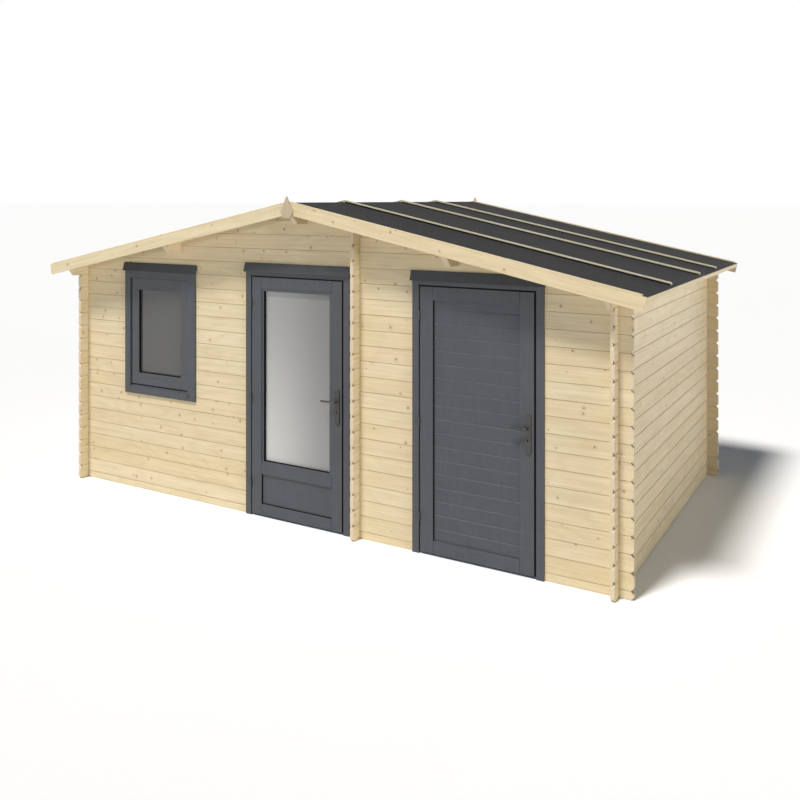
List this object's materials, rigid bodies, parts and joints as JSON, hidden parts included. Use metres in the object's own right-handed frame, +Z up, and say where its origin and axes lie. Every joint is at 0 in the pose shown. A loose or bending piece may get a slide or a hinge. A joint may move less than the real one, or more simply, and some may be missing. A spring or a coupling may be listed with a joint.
{
  "type": "log cabin",
  "caption": "Gabled garden log cabin with two rooms: interlocking notched logs, a glazed door and a window to one room, a boarded door to the other, felt roof.",
  "frame": {"origin": "centre of the plan at ground level, under the ridge", "axes": "+X along the front to the right, +Y from the front to the back, +Z up"},
  "size_m": [5.314, 3.312, 2.5235],
  "materials": {
    "pine": "satin",
    "door_paint": "satin",
    "drip_paint": "satin",
    "felt": "matte",
    "glass": "gloss",
    "handle_metal": "satin"
  },
  "bodies": {
    "cabin": {"front_wall_under_window": "pine", "front_wall_left_of_window": "pine", "front_wall_window_to_door": "pine", "front_wall_between_doors": "pine", "front_wall_right": "pine", "front_gable": "pine", "back_wall": "pine", "back_gable": "pine", "left_wall": "pine", "right_wall": "pine", "partition_wall": "pine", "ridge_purlin": "pine", "left_purlin": "pine", "right_purlin": "pine", "roof_deck_left": "pine", "roof_deck_right": "pine", "roof_felt_left": "felt", "roof_felt_right": "felt", "roof_battens_left": "pine", "roof_battens_right": "pine", "eave_board_left": "pine", "eave_board_right": "pine", "front_barge_boards": "pine", "back_barge_boards": "pine", "front_finial": "pine", "back_finial": "pine", "window_frame": "door_paint", "window_drip_board": "drip_paint", "window_sash": "door_paint", "window_pane": "glass", "glazed_door_frame": "door_paint", "glazed_door_drip_board": "drip_paint", "glazed_door_hinge_pins": "handle_metal", "store_door_frame": "door_paint", "store_door_drip_board": "drip_paint", "store_door_hinge_pins": "handle_metal"},
    "glazed_door": {"glazed_door_leaf": "door_paint", "glazed_door_pane": "glass", "glazed_door_panel": "door_paint", "glazed_door_hinge_knuckles": "handle_metal", "glazed_door_handle_plates": "handle_metal"},
    "glazed_lever": {"glazed_door_lever": "handle_metal"},
    "store_door": {"store_door_leaf": "door_paint", "store_door_boarding": "door_paint", "store_door_hinge_knuckles": "handle_metal", "store_door_handle_plates": "handle_metal"},
    "store_lever": {"store_door_lever": "handle_metal"}
  },
  "joints": [
    {"name": "glazed_door_swing", "type": "hinge", "parent": "cabin", "child": "glazed_door", "pos_m": [-0.50292, -1.4543, 0], "axis": [0, 0, -1], "range_deg": [0, 110]},
    {"name": "glazed_lever_turn", "type": "hinge", "parent": "glazed_door", "child": "glazed_lever", "pos_m": [0.31508, -1.4253, 0.99], "axis": [0, -1, 0], "range_deg": [0, 40], "stiffness_Nm_per_rad": 1, "springref_deg": -17.19},
    {"name": "store_door_swing", "type": "hinge", "parent": "cabin", "child": "store_door", "pos_m": [1.01474, -1.4543, 0], "axis": [0, 0, -1], "range_deg": [0, 110]},
    {"name": "store_lever_turn", "type": "hinge", "parent": "store_door", "child": "store_lever", "pos_m": [1.83274, -1.4253, 0.99], "axis": [0, -1, 0], "range_deg": [0, 40], "stiffness_Nm_per_rad": 1, "springref_deg": -17.19}
  ]
}
